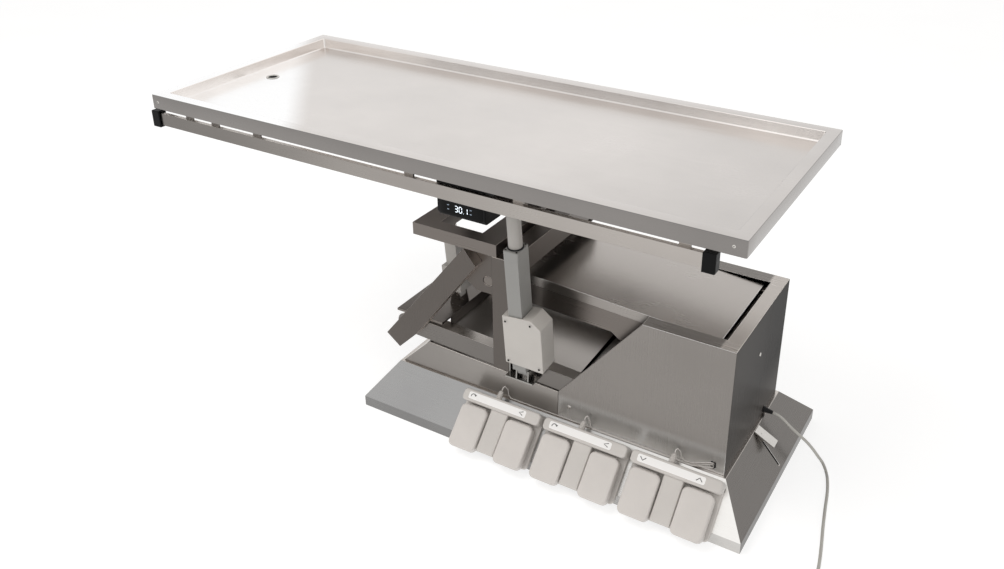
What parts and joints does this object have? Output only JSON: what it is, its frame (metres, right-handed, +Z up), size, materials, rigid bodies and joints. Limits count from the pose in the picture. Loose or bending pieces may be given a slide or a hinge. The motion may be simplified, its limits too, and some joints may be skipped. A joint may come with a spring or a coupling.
{
  "type": "operating table",
  "caption": "Steel operating table with a drained tray top, side rails, parallelogram lift, tilt cylinders, foot pedals and a coiled mains lead.",
  "frame": {"origin": "on the floor under the middle of the table's outline, without the mains lead on the floor", "axes": "+X towards the housing end, -Y towards the pedals, +Z up"},
  "size_m": [1.5969, 0.7403, 0.69],
  "materials": {
    "base_skirt": "brushed",
    "base_plate": "satin",
    "plinth_cover": "brushed",
    "housing_shell": "brushed",
    "pivot_towers": "satin",
    "lift_foot_bracket": "satin",
    "lever_bracket": "satin",
    "pedal_unit_1": "satin",
    "pedal_unit_2": "satin",
    "pedal_unit_3": "satin",
    "pedal_lead_1": "matte",
    "pedal_lead_2": "matte",
    "pedal_lead_3": "matte",
    "mains_relief": "matte",
    "mains_lead": "matte",
    "mains_coil": "matte",
    "mains_plug": "matte",
    "upper_arm_frame": "satin",
    "upper_arm_cover": "brushed",
    "lower_arm_frame": "brushed",
    "carrier_strut_front": "satin",
    "carrier_strut_back": "satin",
    "carrier_cheek_front": "satin",
    "carrier_cheek_back": "satin",
    "carrier_cross_member": "satin",
    "head_beam": "satin",
    "tilt_ring": "satin",
    "tilt_post": "satin",
    "side_foot_bracket": "polished",
    "tilt_pedestal_left": "satin",
    "tilt_pedestal_right": "satin",
    "table_tray": "brushed",
    "drain_collar": "polished",
    "drain_plug": "matte",
    "table_frame": "satin",
    "table_hinge_left": "satin",
    "table_hinge_right": "satin",
    "side_top_holder": "satin",
    "side_rail_front": "brushed",
    "side_rail_back": "brushed",
    "rail_cap_front_left": "gloss",
    "rail_cap_front_right": "gloss",
    "rail_cap_back_left": "gloss",
    "rail_cap_back_right": "gloss",
    "display_box": "gloss",
    "lift_cylinder": "satin",
    "lift_rod": "polished",
    "end_cylinder": "satin",
    "end_rod": "polished",
    "side_cylinder": "satin",
    "side_motor_case": "satin",
    "side_rod": "satin",
    "foot_lever": "polished",
    "pedal_pad_1": "satin",
    "pedal_pad_2": "satin",
    "pedal_pad_3": "satin",
    "pedal_pad_4": "satin",
    "pedal_pad_5": "satin",
    "pedal_pad_6": "satin"
  },
  "bodies": {
    "base": {"base_skirt": "base_skirt", "base_plate": "base_plate", "plinth_cover": "plinth_cover", "housing_shell": "housing_shell", "pivot_towers": "pivot_towers", "lift_foot_bracket": "lift_foot_bracket", "lever_bracket": "lever_bracket", "pedal_unit_1": "pedal_unit_1", "pedal_unit_2": "pedal_unit_2", "pedal_unit_3": "pedal_unit_3", "pedal_lead_1": "pedal_lead_1", "pedal_lead_2": "pedal_lead_2", "pedal_lead_3": "pedal_lead_3", "mains_relief": "mains_relief", "mains_lead": "mains_lead", "mains_coil": "mains_coil", "mains_plug": "mains_plug"},
    "upper_arm": {"upper_arm_frame": "upper_arm_frame", "upper_arm_cover": "upper_arm_cover"},
    "lower_arm": {"lower_arm_frame": "lower_arm_frame"},
    "carrier": {"carrier_strut_front": "carrier_strut_front", "carrier_strut_back": "carrier_strut_back", "carrier_cheek_front": "carrier_cheek_front", "carrier_cheek_back": "carrier_cheek_back", "carrier_cross_member": "carrier_cross_member", "head_beam": "head_beam"},
    "tilt_frame": {"tilt_ring": "tilt_ring", "tilt_post": "tilt_post", "side_foot_bracket": "side_foot_bracket", "tilt_pedestal_left": "tilt_pedestal_left", "tilt_pedestal_right": "tilt_pedestal_right"},
    "tabletop": {"table_tray": "table_tray", "drain_collar": "drain_collar", "drain_plug": "drain_plug", "table_frame": "table_frame", "table_hinge_left": "table_hinge_left", "table_hinge_right": "table_hinge_right", "side_top_holder": "side_top_holder", "side_rail_front": "side_rail_front", "side_rail_back": "side_rail_back", "rail_cap_front_left": "rail_cap_front_left", "rail_cap_front_right": "rail_cap_front_right", "rail_cap_back_left": "rail_cap_back_left", "rail_cap_back_right": "rail_cap_back_right", "display_box": "display_box"},
    "lift_cylinder": {"lift_cylinder": "lift_cylinder"},
    "lift_rod": {"lift_rod": "lift_rod"},
    "end_cylinder": {"end_cylinder": "end_cylinder"},
    "end_rod": {"end_rod": "end_rod"},
    "side_cylinder": {"side_cylinder": "side_cylinder", "side_motor_case": "side_motor_case"},
    "side_rod": {"side_rod": "side_rod"},
    "foot_lever": {"foot_lever": "foot_lever"},
    "pad_1": {"pedal_pad_1": "pedal_pad_1"},
    "pad_2": {"pedal_pad_2": "pedal_pad_2"},
    "pad_3": {"pedal_pad_3": "pedal_pad_3"},
    "pad_4": {"pedal_pad_4": "pedal_pad_4"},
    "pad_5": {"pedal_pad_5": "pedal_pad_5"},
    "pad_6": {"pedal_pad_6": "pedal_pad_6"}
  },
  "joints": [
    {"name": "lift", "type": "hinge", "parent": "base", "child": "upper_arm", "pos_m": [0.61025, 0, 0.355], "axis": [0, 1, 0], "range_deg": [0, 45]},
    {"name": "lower_arm_turn", "type": "hinge", "parent": "base", "child": "lower_arm", "pos_m": [0.38025, 0, 0.1775], "axis": [0, 1, 0], "range_deg": [0, 45]},
    {"name": "carrier_level", "type": "hinge", "parent": "upper_arm", "child": "carrier", "pos_m": [0.10025, 0, 0.382], "axis": [0, 1, 0], "range_deg": [-45, 0]},
    {"name": "end_tilt", "type": "hinge", "parent": "carrier", "child": "tilt_frame", "pos_m": [0.15125, 0, 0.47], "axis": [0, 1, 0], "range_deg": [0, 15]},
    {"name": "side_tilt", "type": "hinge", "parent": "tilt_frame", "child": "tabletop", "pos_m": [-0.04475, 0, 0.575], "axis": [1, 0, 0], "range_deg": [-12, 12]},
    {"name": "lift_cylinder_swing", "type": "hinge", "parent": "base", "child": "lift_cylinder", "pos_m": [0.60525, 0, 0.085], "axis": [0, 1, 0], "range_deg": [0, 16]},
    {"name": "lift_rod_slide", "type": "slide", "parent": "lift_cylinder", "child": "lift_rod", "axis": [-0.6471, 0, 0.7624], "range_m": [0, 0.125]},
    {"name": "end_cylinder_swing", "type": "hinge", "parent": "carrier", "child": "end_cylinder", "pos_m": [-0.04275, -0.065, 0.262], "axis": [0, 1, 0], "range_deg": [0, 1.1]},
    {"name": "end_rod_slide", "type": "slide", "parent": "end_cylinder", "child": "end_rod", "axis": [-0.0813, 0, 0.9967], "range_m": [0, 0.056]},
    {"name": "side_cylinder_swing", "type": "hinge", "parent": "tilt_frame", "child": "side_cylinder", "pos_m": [0.20825, -0.19, 0.213], "axis": [1, 0, 0], "range_deg": [-2, 2]},
    {"name": "side_rod_slide", "type": "slide", "parent": "side_cylinder", "child": "side_rod", "axis": [0, -0.1031, 0.9947], "range_m": [-0.048, 0.048]},
    {"name": "lever_press", "type": "hinge", "parent": "base", "child": "foot_lever", "pos_m": [0.63225, 0.008, 0.052], "axis": [0, 1, 0], "range_deg": [0, 10], "stiffness_Nm_per_rad": 3, "springref_deg": -8.59},
    {"name": "pad_press_1", "type": "hinge", "parent": "base", "child": "pad_1", "pos_m": [0.09825, -0.20514, 0.08353], "axis": [1, 0, 0], "range_deg": [0, 5], "stiffness_Nm_per_rad": 4, "springref_deg": -5.73},
    {"name": "pad_press_2", "type": "hinge", "parent": "base", "child": "pad_2", "pos_m": [0.21225, -0.20514, 0.08353], "axis": [1, 0, 0], "range_deg": [0, 5], "stiffness_Nm_per_rad": 4, "springref_deg": -5.73},
    {"name": "pad_press_3", "type": "hinge", "parent": "base", "child": "pad_3", "pos_m": [0.30225, -0.20514, 0.08353], "axis": [1, 0, 0], "range_deg": [0, 5], "stiffness_Nm_per_rad": 4, "springref_deg": -5.73},
    {"name": "pad_press_4", "type": "hinge", "parent": "base", "child": "pad_4", "pos_m": [0.41625, -0.20514, 0.08353], "axis": [1, 0, 0], "range_deg": [0, 5], "stiffness_Nm_per_rad": 4, "springref_deg": -5.73},
    {"name": "pad_press_5", "type": "hinge", "parent": "base", "child": "pad_5", "pos_m": [0.50625, -0.20514, 0.08353], "axis": [1, 0, 0], "range_deg": [0, 5], "stiffness_Nm_per_rad": 4, "springref_deg": -5.73},
    {"name": "pad_press_6", "type": "hinge", "parent": "base", "child": "pad_6", "pos_m": [0.62025, -0.20514, 0.08353], "axis": [1, 0, 0], "range_deg": [0, 5], "stiffness_Nm_per_rad": 4, "springref_deg": -5.73}
  ],
  "couplings": [
    {"joint": "lower_arm_turn", "follows": "lift", "ratio": 1},
    {"joint": "carrier_level", "follows": "lift", "ratio": -1},
    {"joint": "lift_cylinder_swing", "follows": "lift", "ratio": 0.3486},
    {"joint": "lift_rod_slide", "follows": "lift", "m_per_rad": 0.1551},
    {"joint": "end_cylinder_swing", "follows": "end_tilt", "ratio": 0.0688},
    {"joint": "end_rod_slide", "follows": "end_tilt", "m_per_rad": 0.2094},
    {"joint": "side_cylinder_swing", "follows": "side_tilt", "ratio": 0.1637},
    {"joint": "side_rod_slide", "follows": "side_tilt", "m_per_rad": -0.226}
  ]
}
